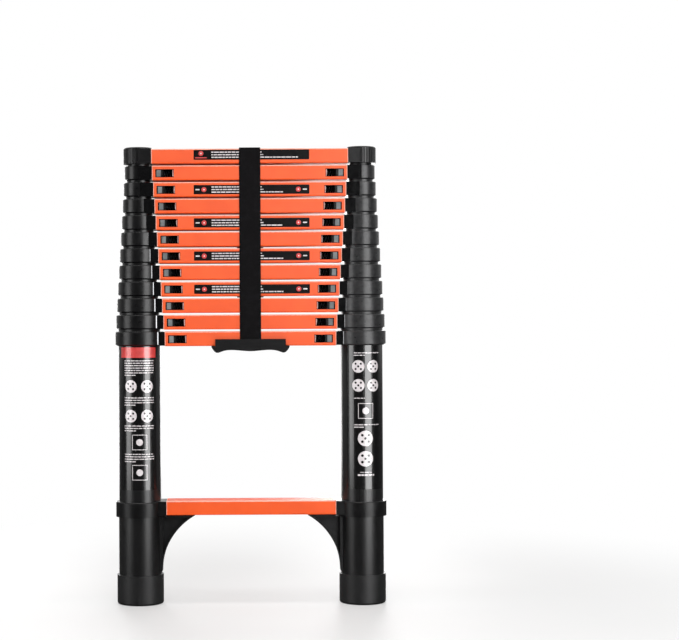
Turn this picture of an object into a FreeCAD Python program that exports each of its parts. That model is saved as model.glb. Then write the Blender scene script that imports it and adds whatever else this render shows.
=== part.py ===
import FreeCAD, Part
import os
import re

import Sketcher

os.makedirs("parts", exist_ok=True)

doc = FreeCAD.newDocument("TelescopingLadder")

# The ladder has thirteen rungs. Row 1 is the top rung on the narrowest tubes, row 12 is the first
# fixed rung on the widest tubes, and row 13 is the bottom rung on the same tubes.
TOP_ROW = 1
FIXED_ROW = 12
BOTTOM_ROW = 13
SLIDING_ROWS = range(TOP_ROW, FIXED_ROW)
LATCH_ROWS = range(TOP_ROW + 1, FIXED_ROW + 1)
SIDES = {"left": -1, "right": 1}

DIMENSIONS = [
    ("stile_offset", 199.7, "middle plane to the axis of each stile"),
    ("section_pitch", 29.65, "height from row to row when collapsed"),
    ("step_spacing", 296.5, "height from row to row when extended"),
    ("fixed_rung_base", 461.9, "underside of the row 12 rung"),
    ("outer_tube_radius", 37.5, "outside of the widest tube"),
    ("tube_step", 1.83, "radius lost from one tube to the next"),
    ("tube_wall", 1.4, "wall of every stile tube"),
    ("tube_length", 365, "length of every sliding tube"),
    ("tube_seat", 7.5, "tube's end above its rung's underside"),
    ("bush_flange", 5, "height of the guide bush below a tube"),
    ("bush_spigot", 12, "height of the guide bush inside a tube"),
    ("bush_overhang", 0.35, "guide bush beyond its tube's outside"),
    ("vent_radius", 3, "air hole through a guide bush"),
    ("rung_height", 26.3, "outside of the rung extrusion"),
    ("rung_depth", 51, "outside of the rung extrusion, front to back"),
    ("rung_wall", 1.6, "wall of the rung extrusion"),
    ("rung_corner", 2.2, "outside corner radius of a rung"),
    ("tread_groove_width", 1.8, "anti-slip groove on a rung's top"),
    ("tread_groove_depth", 0.7, "anti-slip groove on a rung's top"),
    ("tread_groove_span", 36, "first groove to last"),
    ("rung_inset", 46.6, "stile axis to the rung's end at row 12"),
    ("rung_inset_step", 2.14, "inset lost from one row to the next"),
    ("bottom_rung_base", 160.1, "underside of the bottom rung"),
    ("bottom_rung_height", 25.4, "outside of the bottom rung"),
    ("bottom_rung_inset", 48.0, "stile axis to the bottom rung's end"),
    ("collar_wall", 6.0, "collar beyond its tube"),
    ("collar_neck_inset", 3.8, "collar's foot inside its outer face"),
    ("collar_foot", 3.2, "collar's foot below its rung's underside"),
    ("collar_neck_top", 0.6, "top of the straight neck above the rung's underside"),
    ("collar_cone_top", 2.8, "start of the full radius above the rung's underside"),
    ("collar_shoulder", 25.1, "end of the full radius above the rung's underside"),
    ("collar_top", 26.1, "collar's top above the rung's underside"),
    ("collar_bevel", 1.0, "bevel round a collar's top"),
    ("arm_half_depth", 27, "half depth of the arm that meets the rung"),
    ("arm_base", 1.0, "arm's underside above the rung's underside"),
    ("arm_top", 25.6, "arm's top above the rung's underside"),
    ("arm_fillet", 6.0, "hollow rounding between a collar's band and its arm"),
    ("fillet_lap", 0.05, "how far that rounding runs into the band and the arm"),
    ("spigot_length", 56, "plug that enters the rung"),
    ("spigot_half_depth", 23.4, "half depth of that plug"),
    ("spigot_base", 2.1, "plug's underside above the rung's underside"),
    ("spigot_top", 24.2, "plug's top above the rung's underside"),
    ("latch_height", 12.4, "latch axis above the rung's underside"),
    ("window_start", 6.0, "rung's end to the latch window"),
    ("window_length", 33, "latch window along the rung"),
    ("window_half_height", 7.2, "half height of the latch window"),
    ("channel_half_height", 6.6, "half height of the latch channel"),
    ("channel_back", 6.5, "latch channel behind the stile axis plane"),
    ("channel_end", 47, "rung's end to the end of the latch channel"),
    ("pin_radius", 4.0, "lock pin"),
    ("pin_clearance", 0.4, "room round the lock pin, and before its tip"),
    ("channel_lead", 1.0, "latch channel before the latch window"),
    ("slider_start", 7.6, "rung's end to the slider at rest"),
    ("slider_length", 12, "slider along the rung"),
    ("slider_half_height", 5.9, "half height of the slider"),
    ("slider_back", 5, "slider behind the stile axis plane"),
    ("slider_front", 22.6, "slider before the stile axis plane"),
    ("pad_start", 8.2, "rung's end to the thumb pad"),
    ("pad_length", 7.5, "thumb pad along the rung"),
    ("pad_front", 25.0, "thumb pad's face before the stile axis plane"),
    ("pad_rib", 0.9, "ribs of the thumb pad"),
    ("cap_radius", 27.2, "outside of the ribbed top cap"),
    ("cap_top", 29.75, "cap's top above the top rung's underside"),
    ("cap_bevel", 2.0, "bevel round the cap's top"),
    ("cap_flute", 1.0, "radius of a flute between the cap's ribs"),
    ("cap_inset", 23.8, "stile axis to the top rung's end"),
    ("lower_collar_radius", 43.3, "collar that carries the bottom rung"),
    ("lower_collar_base", 156.6, "underside of that collar"),
    ("lower_collar_height", 26.9, "height of that collar"),
    ("sleeve_radius", 38.3, "outside of the sleeve round the leg"),
    ("foot_radius", 41.7, "outside of the rubber foot"),
    ("foot_height", 52.6, "height of the rubber foot"),
    ("foot_sole", 6, "thickness of the foot's sole"),
    ("foot_edge", 4, "rounding of the foot's lower edge"),
    ("foot_groove", 3, "width of a groove in the sole"),
    ("foot_groove_depth", 2, "depth of a groove in the sole"),
    ("arch_radius", 114.7, "curve of the gusset below the bottom rung"),
    ("arch_centre_out", 45.1, "middle plane to the curve's centre"),
    ("arch_centre_up", 58, "height of the curve's centre"),
    ("arch_half_depth", 14, "half depth of the gusset"),
    ("arch_web", 3, "half thickness of the gusset's web"),
    ("arch_rim", 2.4, "thickness of the gusset's rim"),
    ("arch_tip", 2.0, "thickness of the gusset's tip"),
    ("arch_root", 4, "depth of the gusset's plate that the leg cuts away"),
    ("arch_play", 0.05, "gusset to the bottom rung"),
    ("collar_play", 0.1, "gusset to the collar of the bottom rung"),
    ("strap_width", 38, "webbing"),
    ("strap_thickness", 1.4, "webbing"),
    ("strap_front", 26.4, "webbing's inner face in front"),
    ("strap_back", 30.2, "webbing's inner face behind"),
    ("strap_gap", 0.4, "webbing to the rungs that it goes round"),
    ("grip_half_width", 70, "half width of the grip"),
    ("grip_lobe_out", 61, "middle plane to the grip's lowest point"),
    ("grip_waist_out", 40, "middle plane to the grip's thinnest place"),
    ("grip_waist", 454.3, "underside of the grip at its thinnest place"),
    ("grip_middle", 452.4, "underside of the grip in the middle"),
    ("grip_front", 31, "grip before the stile axis plane"),
    ("grip_back", 35, "grip behind the stile axis plane"),
    ("grip_base", 450, "lowest point of the grip"),
    ("grip_edge", 0.6, "thickness of the grip at its ends"),
    ("grip_swell", 2.5, "how far the grip's ends bulge"),
    ("grip_draft", 2, "how much each end draws in towards the rung"),
    ("lip_half_width", 63, "half width of the handle's lip"),
    ("lip_root", 456.4, "where the lips leave the grip"),
    ("lip_top", 474, "top of the handle's lip"),
    ("back_lip_top", 468, "top of the handle's lip behind the rung"),
    ("lip_clearance", 0.2, "handle's lips to the rung"),
    ("strap_room", 0.6, "room round the webbing in the handle and the fittings"),
    ("buckle_half_width", 24, "half width of the buckle"),
    ("buckle_depth", 7.2, "buckle, front to back"),
    ("buckle_middle", 638, "height of the joint between the buckle's halves"),
    ("buckle_plug_height", 22, "plug below that joint"),
    ("buckle_socket_height", 30, "socket above that joint"),
    ("buckle_cavity_height", 20, "room for the prongs above that joint"),
    ("buckle_wall", 3.4, "socket beside the prongs"),
    ("buckle_step", 1.5, "plug narrower than the socket at each side"),
    ("buckle_bridge", 4, "socket between the prongs' room and the webbing"),
    ("finger_way_base", 8, "opening for a finger tip above that joint"),
    ("finger_way_top", 18, "opening for a finger tip above that joint"),
    ("prong_height", 17, "prongs above the joint"),
    ("prong_width", 5.5, "side prong across the strap"),
    ("prong_thickness", 3.4, "prong, front to back"),
    ("prong_root", 3, "prong inside the plug"),
    ("prong_margin", 4, "side of the buckle to the prong"),
    ("prong_room", 1, "room round the prongs, front to back"),
    ("adjuster_middle", 560, "height of the strap's adjuster"),
    ("adjuster_half_height", 11, "half height of the adjuster"),
    ("adjuster_depth", 4.8, "adjuster, front to back"),
    ("adjuster_bar", 2, "half width of the adjuster's middle bar"),
    ("adjuster_slot", 6, "height of each slot beside that bar"),
    ("screw_offset", 50, "middle plane to each handle screw"),
    ("screw_radius", 2.4, "shank of the handle's screws"),
    ("screw_head_radius", 4.5, "head of the handle's screws"),
    ("screw_head_height", 3, "head of the handle's screws"),
    ("screw_head_base", 456.5, "underside of the screws' heads"),
    ("screw_tip", 2, "screw above the wall of the rung"),
]

SUB_PARTS = []

sheet = doc.addObject("Spreadsheet::Sheet", "Dimensions")
for row, (alias, value, meaning) in enumerate(DIMENSIONS, start=1):
    sheet.set(f"A{row}", meaning)
    sheet.set(f"B{row}", str(value))
    sheet.setAlias(f"B{row}", alias)
doc.recompute()

SIZE = {alias: value for alias, value, meaning in DIMENSIONS}


def cell(text):
    """Turn words that name sizes into an expression on the sheet."""
    return re.sub(r"[a-z_]+", lambda word: qualified(word.group()), text)


def qualified(word):
    return f"Dimensions.{word}" if word in SIZE else word


def bind(thing, **settings):
    """Bind properties of an object to expressions made of the sheet's sizes."""
    for name, text in settings.items():
        thing.setExpression(name, cell(str(text)))
    return thing


def place(thing, spot):
    """Bind an object's place to three expressions."""
    for axis, text in zip("xyz", spot):
        thing.setExpression(f"Placement.Base.{axis}", cell(text))
    return thing


# Tools that cut run at least 1 mm past the piece they cut.


def block(name, low, high):
    """A box between two corners, each three expressions."""
    thing = doc.addObject("Part::Box", name)
    length, width, height = (f"({b}) - ({a})" for a, b in zip(low, high))
    bind(thing, Length=length, Width=width, Height=height)
    return place(thing, low)


def rod(name, radius, low, high, centre, depth="0"):
    """An upright cylinder from one height to another."""
    thing = doc.addObject("Part::Cylinder", name)
    bind(thing, Radius=radius, Height=f"({high}) - ({low})")
    return place(thing, (centre, depth, low))


def taper(name, radii, low, high, centre):
    """An upright cone frustum from one height to another."""
    thing = doc.addObject("Part::Cone", name)
    bind(thing, Radius1=radii[0], Radius2=radii[1], Height=f"({high}) - ({low})")
    return place(thing, (centre, "0", low))


def cross_rod(name, radius, near, far, height, side):
    """A cylinder along X between two distances from the stile axis."""
    thing = doc.addObject("Part::Cylinder", name)
    bind(thing, Radius=radius, Height=f"({far}) - ({near})")
    turn = FreeCAD.Rotation(FreeCAD.Vector(0, 1, 0), -90 * side)
    thing.Placement = FreeCAD.Placement(FreeCAD.Vector(), turn)
    return place(thing, (inward(side, near), "0", height))


def depth_rod(name, radius, low, high, spot):
    """A cylinder along Y between two depths, at a place in X and Z."""
    thing = doc.addObject("Part::Cylinder", name)
    bind(thing, Radius=radius, Height=f"({high}) - ({low})")
    turn = FreeCAD.Rotation(FreeCAD.Vector(1, 0, 0), -90)
    thing.Placement = FreeCAD.Placement(FreeCAD.Vector(), turn)
    return place(thing, (spot[0], low, spot[1]))


def fuse(name, things):
    """Join objects into one solid."""
    joined = doc.addObject("Part::MultiFuse", name)
    joined.Shapes = things
    joined.Refine = True
    return joined


def cut(name, base, tools):
    """Take one or more objects out of another."""
    left = doc.addObject("Part::Cut", name)
    left.Base = base
    left.Tool = tools[0] if len(tools) == 1 else fuse(f"{name}Room", tools)
    return left


def group(label, things):
    """A sub-part that is made of separate solids."""
    node = doc.addObject("Part::Compound", label)
    node.Label = label
    node.Links = things
    SUB_PARTS.append(node)
    return node


def axis_of(side):
    """The X of the stile axis on one side."""
    return f"{side} * stile_offset"


def inward(side, distance):
    """The X at a distance from the stile axis, towards the middle of the ladder."""
    return f"{side} * (stile_offset - ({distance}))"


def span(side, near, far):
    """The lower and upper X of a stretch between two distances from the stile axis."""
    ends = [inward(side, near), inward(side, far)]
    return ends if side < 0 else ends[::-1]


def arm_block(name, side, reach, depths, heights):
    """A box along X between two distances from the stile axis."""
    low_x, high_x = span(side, *reach)
    return block(name, (low_x, depths[0], heights[0]), (high_x, depths[1], heights[1]))


def tube_radius(row):
    return f"(outer_tube_radius - {FIXED_ROW - row} * tube_step)"


def rung_base(row):
    if row == BOTTOM_ROW:
        return "bottom_rung_base"
    return f"(fixed_rung_base + {FIXED_ROW - row} * section_pitch)"


def rung_height(row):
    return "bottom_rung_height" if row == BOTTOM_ROW else "rung_height"


def rung_inset(row):
    """Distance from the stile axis to the end of a rung."""
    if row == BOTTOM_ROW:
        return "bottom_rung_inset"
    if row == TOP_ROW:
        return "cap_inset"
    return f"(rung_inset - {FIXED_ROW - row} * rung_inset_step)"


def above(row, height):
    """A height above the underside of a row's rung."""
    return f"{rung_base(row)} + {height}"


# ---- PartDesign helpers ----


def new_body(label):
    body = doc.addObject("PartDesign::Body", label)
    body.Label = label
    return body


def new_sketch(body, name, role):
    """A sketch on one of the body's own origin planes."""
    sketch = body.newObject("Sketcher::SketchObject", name)
    plane = next(feature for feature in body.Origin.OriginFeatures if feature.Role == role)
    sketch.AttachmentSupport = [(plane, "")]
    sketch.MapMode = "FlatFace"
    return sketch


def locate(sketch, kind, line, end, text):
    """Hold one coordinate of a line's end at an expression."""
    number = sketch.addConstraint(Sketcher.Constraint(kind, -1, 1, line, end, 1.0))
    label = f"{kind}{number}"
    sketch.renameConstraint(number, label)
    sketch.setExpression(f"Constraints.{label}", cell(text))


def rectangle(sketch, low, high):
    """A constrained rectangle between two corners, each two expressions."""
    corners = [FreeCAD.Vector(x, y, 0) for x, y in ((0, 0), (1, 0), (1, 1), (0, 1))]
    first = len(sketch.Geometry)
    for number in range(4):
        edge = Part.LineSegment(corners[number], corners[(number + 1) % 4])
        sketch.addGeometry(edge, False)
    for number in range(4):
        following = first + (number + 1) % 4
        sketch.addConstraint(Sketcher.Constraint("Coincident", first + number, 2, following, 1))
        lie = "Vertical" if number % 2 else "Horizontal"
        sketch.addConstraint(Sketcher.Constraint(lie, first + number))
    locate(sketch, "DistanceX", first, 1, low[0])
    locate(sketch, "DistanceY", first, 1, low[1])
    locate(sketch, "DistanceX", first + 1, 2, high[0])
    locate(sketch, "DistanceY", first + 1, 2, high[1])


def circle(sketch, centre, radius):
    """A constrained circle."""
    number = sketch.addGeometry(Part.Circle(FreeCAD.Vector(1, 1, 0), FreeCAD.Vector(0, 0, 1), 1))
    locate(sketch, "DistanceX", number, 3, centre[0])
    locate(sketch, "DistanceY", number, 3, centre[1])
    limit = sketch.addConstraint(Sketcher.Constraint("Radius", number, 1.0))
    label = f"Radius{limit}"
    sketch.renameConstraint(limit, label)
    sketch.setExpression(f"Constraints.{label}", cell(radius))


def feature(body, kind, name, profile, length, reverse=False, both_ways=False):
    """A pad or pocket of a sketch."""
    made = body.newObject(f"PartDesign::{kind}", name)
    made.Profile = profile
    made.Reversed = reverse
    made.SideType = "Symmetric" if both_ways else "One side"
    bind(made, Length=length)
    doc.recompute()
    return made


def pocket(body, name, profile, length, reverse=False, both_ways=False):
    """A pocket that has to take something away."""
    before = body.Shape.Volume
    made = feature(body, "Pocket", name, profile, length, reverse, both_ways)
    if body.Shape.Volume > before - 1:
        raise ValueError(f"{body.Label}: pocket {name} cuts nothing")
    return made


def edges_where(shape, wanted):
    """Names of the edges that meet a condition."""
    return [f"Edge{n}" for n, edge in enumerate(shape.Edges, start=1) if wanted(edge)]


def dress(body, kind, name, wanted, **settings):
    """A fillet or chamfer on the edges of the body's present shape that meet a condition."""
    base = body.Tip
    names = edges_where(base.Shape, wanted)
    made = body.newObject(f"PartDesign::{kind}", name)
    made.Base = (base, names)
    bind(made, **settings)
    doc.recompute()
    return made


# ---- Rungs ----


def runs_along_x(edge):
    ends = [vertex.Point for vertex in edge.Vertexes]
    return len(ends) == 2 and abs((ends[1] - ends[0]).normalize().x) > 0.999


def make_rung(row):
    """An aluminium extrusion with grooves on its tread and a window for each latch."""
    body = new_body(f"rung_{row:02}")
    base, top = rung_base(row), above(row, rung_height(row))
    profile = new_sketch(body, f"Rung{row}Profile", "YZ_Plane")
    rectangle(profile, ("-rung_depth / 2", base), ("rung_depth / 2", top))
    length = f"2 * (stile_offset - {rung_inset(row)})"
    feature(body, "Pad", f"Rung{row}Pad", profile, length, both_ways=True)
    dress(body, "Fillet", f"Rung{row}Corners", runs_along_x, Radius="rung_corner")
    hollow = new_sketch(body, f"Rung{row}Hollow", "YZ_Plane")
    low = ("-rung_depth / 2 + rung_wall", f"{base} + rung_wall")
    high = ("rung_depth / 2 - rung_wall", f"{top} - rung_wall")
    rectangle(hollow, low, high)
    pocket(body, f"Rung{row}Bore", hollow, "2 * stile_offset", both_ways=True)
    groove = new_sketch(body, f"Rung{row}Groove", "YZ_Plane")
    side = "tread_groove_span / 2"
    low = (f"-{side}", f"{top} - tread_groove_depth")
    rectangle(groove, low, (f"-{side} + tread_groove_width", f"{top} + 1"))
    cutter = pocket(body, f"Rung{row}GrooveCut", groove, "2 * stile_offset", both_ways=True)
    rows = body.newObject("PartDesign::LinearPattern", f"Rung{row}Grooves")
    rows.Originals = [cutter]
    rows.Direction = (groove, ["H_Axis"])
    rows.Occurrences = TREAD_GROOVES
    bind(rows, Length="tread_groove_span - tread_groove_width")
    body.Tip = rows
    doc.recompute()
    if row in LATCH_ROWS:
        windows = new_sketch(body, f"Rung{row}Windows", "XZ_Plane")
        middle = above(row, "latch_height")
        for sign in SIDES.values():
            start = f"{rung_inset(row)} + window_start"
            low_x, high_x = span(sign, start, f"{start} + window_length")
            low = (low_x, f"{middle} - window_half_height")
            rectangle(windows, low, (high_x, f"{middle} + window_half_height"))
        pocket(body, f"Rung{row}WindowCut", windows, "rung_depth", reverse=True)
    if row == FIXED_ROW:
        holes = new_sketch(body, f"Rung{row}ScrewHoles", "XY_Plane")
        bind(holes, **{"AttachmentOffset.Base.z": base})
        for sign in SIDES.values():
            circle(holes, (f"{sign} * screw_offset", "0"), "screw_radius")
        pocket(body, f"Rung{row}ScrewHoleCut", holes, "rung_wall * 2", reverse=True)
    SUB_PARTS.append(body)
    return body


TREAD_GROOVES = 7

for row in range(TOP_ROW, BOTTOM_ROW + 1):
    make_rung(row)


# ---- Stiles: tubes, guide bushes and collars ----

PIN_ROOM = "pin_radius + pin_clearance"


def make_tube(row, side):
    """A sliding tube with the hole that its neighbour's lock pin enters when extended."""
    name = f"Tube{row}{side_name(side)}"
    centre = axis_of(side)
    top = above(row, "tube_seat")
    base = f"{top} - tube_length"
    outside = rod(f"{name}Outside", tube_radius(row), base, top, centre)
    inside = rod(f"{name}Inside", f"{tube_radius(row)} - tube_wall", f"{base} - 1", f"{top} + 1", centre)
    lock_height = f"{above(row + 1, 'latch_height')} - (step_spacing - section_pitch)"
    far = f"{tube_radius(row)} + 5"
    hole = cross_rod(f"{name}LockHole", PIN_ROOM, "0", far, lock_height, side)
    return cut(name, outside, [inside, hole])


def make_bush(row, side):
    """A plastic plug in a tube's lower end, which guides it in the next tube."""
    name = f"Bush{row}{side_name(side)}"
    centre = axis_of(side)
    tube_end = f"{above(row, 'tube_seat')} - tube_length"
    base, top = f"{tube_end} - bush_flange", f"{tube_end} + bush_spigot"
    flange = rod(f"{name}Flange", f"{tube_radius(row)} + bush_overhang", base, tube_end, centre)
    spigot = rod(f"{name}Spigot", f"{tube_radius(row)} - tube_wall", tube_end, top, centre)
    vent = rod(f"{name}Vent", "vent_radius", f"{base} - 1", f"{top} + 1", centre)
    return cut(name, fuse(f"{name}Plug", [flange, spigot]), [vent])


def side_name(side):
    return "Left" if side < 0 else "Right"


def make_spigot(name, row, side):
    """The plug that enters the rung."""
    inset = rung_inset(row)
    roof = "(rung_height - spigot_top)"
    heights = (above(row, "spigot_base"), above(row, f"{rung_height(row)} - {roof}"))
    depths = ("-spigot_half_depth", "spigot_half_depth")
    return arm_block(f"{name}Spigot", side, (inset, f"{inset} + spigot_length"), depths, heights)


def arm_fillets(name, row, side, radius):
    """Hollow roundings in front and behind, where a collar's band meets its arm."""
    out = "(arm_half_depth + arm_fillet - fillet_lap)"
    along = f"sqrt(({radius} + arm_fillet - fillet_lap) ^ 2 - {out} ^ 2)"
    share = f"{radius} / ({radius} + arm_fillet)"
    start = f"{along} * {share} - 1"
    inner, outer = "arm_half_depth - 1", f"{out} * {share}"
    base, top = above(row, "collar_cone_top"), above(row, "collar_shoulder")
    fillets = []
    stretches = {"Front": (f"-({outer})", f"-({inner})", -1), "Back": (inner, outer, 1)}
    for label, (near, far, turn) in stretches.items():
        filling = arm_block(f"{name}{label}Filling", side, (start, along), (near, far), (base, top))
        hollow = rod(
            f"{name}{label}Hollow",
            "arm_fillet",
            f"{base} - 1",
            f"{top} + 1",
            inward(side, along),
            f"{turn} * {out}",
        )
        fillets.append(cut(f"{name}{label}Fillet", filling, [hollow]))
    return fillets


def make_collar(row, side):
    """A moulded collar that grips its tube, carries the rung and holds the latch."""
    name = f"Collar{row}{side_name(side)}"
    centre = axis_of(side)
    inset = rung_inset(row)
    middle = above(row, "latch_height")
    radius = f"({tube_radius(row)} + collar_wall)"
    neck = f"({radius} - collar_neck_inset)"
    neck_top, cone_top = above(row, "collar_neck_top"), above(row, "collar_cone_top")
    shoulder, top = above(row, "collar_shoulder"), above(row, "collar_top")
    arm_depths = ("-arm_half_depth", "arm_half_depth")
    arm_heights = (above(row, "arm_base"), above(row, "arm_top"))
    solids = [
        taper(f"{name}Cone", (neck, radius), neck_top, cone_top, centre),
        rod(f"{name}Band", radius, cone_top, shoulder, centre),
        taper(f"{name}Bevel", (radius, f"{radius} - collar_bevel"), shoulder, top, centre),
        arm_block(f"{name}Arm", side, ("0", inset), arm_depths, arm_heights),
        make_spigot(name, row, side),
    ]
    if row in FILLET_ROWS:
        solids.extend(arm_fillets(name, row, side, radius))
    foot = neck_top
    if row < FIXED_ROW:
        foot = f"{rung_base(row)} - collar_foot"
        solids.append(rod(f"{name}Neck", neck, foot, neck_top, centre))
    channel_reach = (f"{inset} + window_start - channel_lead", f"{inset} + channel_end")
    channel_depths = ("-spigot_half_depth - 1", "channel_back")
    channel_heights = (f"{middle} - channel_half_height", f"{middle} + channel_half_height")
    rooms = [
        rod(f"{name}Seat", tube_radius(row), f"{foot} - 1", above(row, "tube_seat"), centre),
        rod(f"{name}Bore", f"{tube_radius(row)} - tube_wall", foot, f"{top} + 1", centre),
        cross_rod(f"{name}PinBore", PIN_ROOM, "0", f"{inset} + slider_start", middle, side),
        arm_block(f"{name}Channel", side, channel_reach, channel_depths, channel_heights),
    ]
    return cut(name, fuse(f"{name}Body", solids), rooms)


# On the narrower collars above these rows the arm covers the whole band.
FILLET_ROWS = range(5, FIXED_ROW + 1)

for row in SLIDING_ROWS:
    pieces = []
    for side in SIDES.values():
        pieces.append(make_tube(row, side))
        pieces.append(make_bush(row, side))
        if row != TOP_ROW:
            pieces.append(make_collar(row, side))
    group(f"stiles_{row:02}", pieces)


# ---- Top caps ----


def lies_at(height):
    """A test for edges that lie at one height."""
    return lambda edge: abs(edge.CenterOfMass.z - height) < 0.01


def make_cap(side):
    """A ribbed cap that closes the narrowest tube and carries the top rung."""
    body = new_body(f"Cap{side_name(side)}")
    centre = axis_of(side)
    disc = new_sketch(body, f"{body.Label}Disc", "XY_Plane")
    circle(disc, (centre, "0"), "cap_radius")
    bind(disc, **{"AttachmentOffset.Base.z": above(TOP_ROW, "collar_neck_top")})
    feature(body, "Pad", f"{body.Label}Pad", disc, "cap_top - collar_neck_top")
    top = body.Shape.BoundBox.ZMax
    dress(body, "Chamfer", f"{body.Label}Bevel", lies_at(top), Size="cap_bevel")
    return body


def flutes(name, side):
    """Upright flutes round a cap, which leave ribs between them."""
    base, top = rung_base(TOP_ROW), above(TOP_ROW, "cap_top - cap_bevel")
    cutters = []
    for number in range(CAP_FLUTES):
        turn = f"{number * 360 / CAP_FLUTES} * 1 deg"
        across = f"{axis_of(side)} + cap_radius * cos({turn})"
        depth = f"cap_radius * sin({turn})"
        cutters.append(rod(f"{name}Flute{number}", "cap_flute", base, top, across, depth))
    return fuse(f"{name}Flutes", cutters)


CAP_FLUTES = 36


def finish_cap(side):
    """The cap with its ribs, its foot, its arm and the seat for its tube."""
    name = f"TopCap{side_name(side)}"
    centre, inset = axis_of(side), rung_inset(TOP_ROW)
    ribbed = cut(f"{name}Ribbed", make_cap(side), [flutes(name, side)])
    far = "cap_radius + 10"
    trim_heights = (above(TOP_ROW, "-10"), above(TOP_ROW, "cap_top + 10"))
    trim = arm_block(f"{name}Trim", side, (inset, far), (f"-({far})", far), trim_heights)
    shell = cut(f"{name}Shell", ribbed, [trim])
    neck = f"{tube_radius(TOP_ROW)} + collar_wall - collar_neck_inset"
    base = above(TOP_ROW, "-collar_foot")
    foot = rod(f"{name}Foot", neck, base, above(TOP_ROW, "collar_cone_top"), centre)
    arm_depths = ("-arm_half_depth", "arm_half_depth")
    arm_heights = (above(TOP_ROW, "arm_base"), above(TOP_ROW, "rung_height"))
    arm = arm_block(f"{name}Arm", side, ("0", inset), arm_depths, arm_heights)
    spigot = make_spigot(name, TOP_ROW, side)
    seat = rod(f"{name}Seat", tube_radius(TOP_ROW), f"{base} - 1", above(TOP_ROW, "tube_seat"), centre)
    return cut(name, fuse(f"{name}Body", [shell, foot, arm, spigot]), [seat])


group("top_caps", [finish_cap(side) for side in SIDES.values()])


# ---- Latches ----


def make_latch(row, side):
    """A thumb slider and the lock pin that it draws out of the inner tube."""
    name = f"Latch{row}{side_name(side)}"
    inset = rung_inset(row)
    middle = above(row, "latch_height")
    slider_ends = (f"{inset} + slider_start", f"{inset} + slider_start + slider_length")
    heights = (f"{middle} - slider_half_height", f"{middle} + slider_half_height")
    body = arm_block(f"{name}Body", side, slider_ends, ("-slider_front", "slider_back"), heights)
    pad_ends = (f"{inset} + pad_start", f"{inset} + pad_start + pad_length")
    pad_depths = ("-pad_front + pad_rib", "-slider_front + 0.5")
    pad = arm_block(f"{name}Pad", side, pad_ends, pad_depths, heights)
    ribs = []
    for number in range(PAD_RIBS):
        start = f"{inset} + pad_start + {number} * (pad_length - pad_rib) / {PAD_RIBS - 1}"
        depths = ("-pad_front", "-pad_front + pad_rib + 0.5")
        ribs.append(arm_block(f"{name}Rib{number}", side, (start, f"{start} + pad_rib"), depths, heights))
    slider = fuse(f"{name}Slider", [body, pad] + ribs)
    tip = f"{tube_radius(row - 1)} + pin_clearance"
    pin = cross_rod(f"{name}Pin", "pin_radius", tip, slider_ends[0], middle, side)
    return group(f"latch_{side_name(side).lower()}_{row:02}", [slider, pin])


PAD_RIBS = 4

for row in LATCH_ROWS:
    for side in SIDES.values():
        make_latch(row, side)


# ---- Fixed legs ----


def make_outer_tube(side):
    """The widest tube, from the foot's sole to its collar."""
    name = f"OuterTube{side_name(side)}"
    centre = axis_of(side)
    top = above(FIXED_ROW, "tube_seat")
    outside = rod(f"{name}Outside", "outer_tube_radius", "foot_sole", top, centre)
    inside = rod(f"{name}Inside", "outer_tube_radius - tube_wall", "foot_sole - 1", f"{top} + 1", centre)
    return cut(name, outside, [inside])


def make_lower_collar(side):
    """The collar that clamps the bottom rung to the widest tube."""
    name = f"LowerCollar{side_name(side)}"
    centre, inset = axis_of(side), rung_inset(BOTTOM_ROW)
    top = "lower_collar_base + lower_collar_height"
    bevel_base = f"{top} - collar_bevel"
    radii = ("lower_collar_radius", "lower_collar_radius - collar_bevel")
    arm_depths = ("-arm_half_depth", "arm_half_depth")
    arm_heights = (above(BOTTOM_ROW, "-1"), above(BOTTOM_ROW, "bottom_rung_height - 1"))
    solids = [
        rod(f"{name}Band", "lower_collar_radius", "lower_collar_base", bevel_base, centre),
        taper(f"{name}Bevel", radii, bevel_base, top, centre),
        arm_block(f"{name}Arm", side, ("0", inset), arm_depths, arm_heights),
        make_spigot(name, BOTTOM_ROW, side),
    ]
    bore = rod(f"{name}Bore", "outer_tube_radius", "lower_collar_base - 1", f"{top} + 5", centre)
    return cut(name, fuse(f"{name}Body", solids), [bore])


def make_sleeve(side):
    """The plastic sleeve round the leg between the foot and the bottom rung's collar."""
    name = f"Sleeve{side_name(side)}"
    centre = axis_of(side)
    outside = rod(f"{name}Outside", "sleeve_radius", "foot_height", "lower_collar_base", centre)
    inside = rod(f"{name}Inside", "outer_tube_radius", "foot_height - 1", "lower_collar_base + 1", centre)
    return cut(name, outside, [inside])


def make_foot(side):
    """A rubber boot round the leg's end, with a grooved sole."""
    name = f"Foot{side_name(side)}"
    body = new_body(f"{name}Boot")
    disc = new_sketch(body, f"{name}Disc", "XY_Plane")
    circle(disc, (axis_of(side), "0"), "foot_radius")
    feature(body, "Pad", f"{name}Pad", disc, "foot_height")
    dress(body, "Fillet", f"{name}Edge", lies_at(0), Radius="foot_edge")
    seat = new_sketch(body, f"{name}Seat", "XY_Plane")
    circle(seat, (axis_of(side), "0"), "outer_tube_radius")
    bind(seat, **{"AttachmentOffset.Base.z": "foot_sole"})
    pocket(body, f"{name}Bore", seat, "foot_height", reverse=True)
    groove = new_sketch(body, f"{name}Groove", "XY_Plane")
    span_of_grooves = f"{SOLE_GROOVE_PITCH * (SOLE_GROOVES - 1)}"
    for number in range(SOLE_GROOVES):
        start = f"{number * SOLE_GROOVE_PITCH} - {span_of_grooves} / 2 - foot_groove / 2"
        low = (f"{axis_of(side)} - foot_radius - 1", start)
        rectangle(groove, low, (f"{axis_of(side)} + foot_radius + 1", f"{start} + foot_groove"))
    pocket(body, f"{name}Tread", groove, "foot_groove_depth", reverse=True)
    return body


SOLE_GROOVES = 5
SOLE_GROOVE_PITCH = 12

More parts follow.
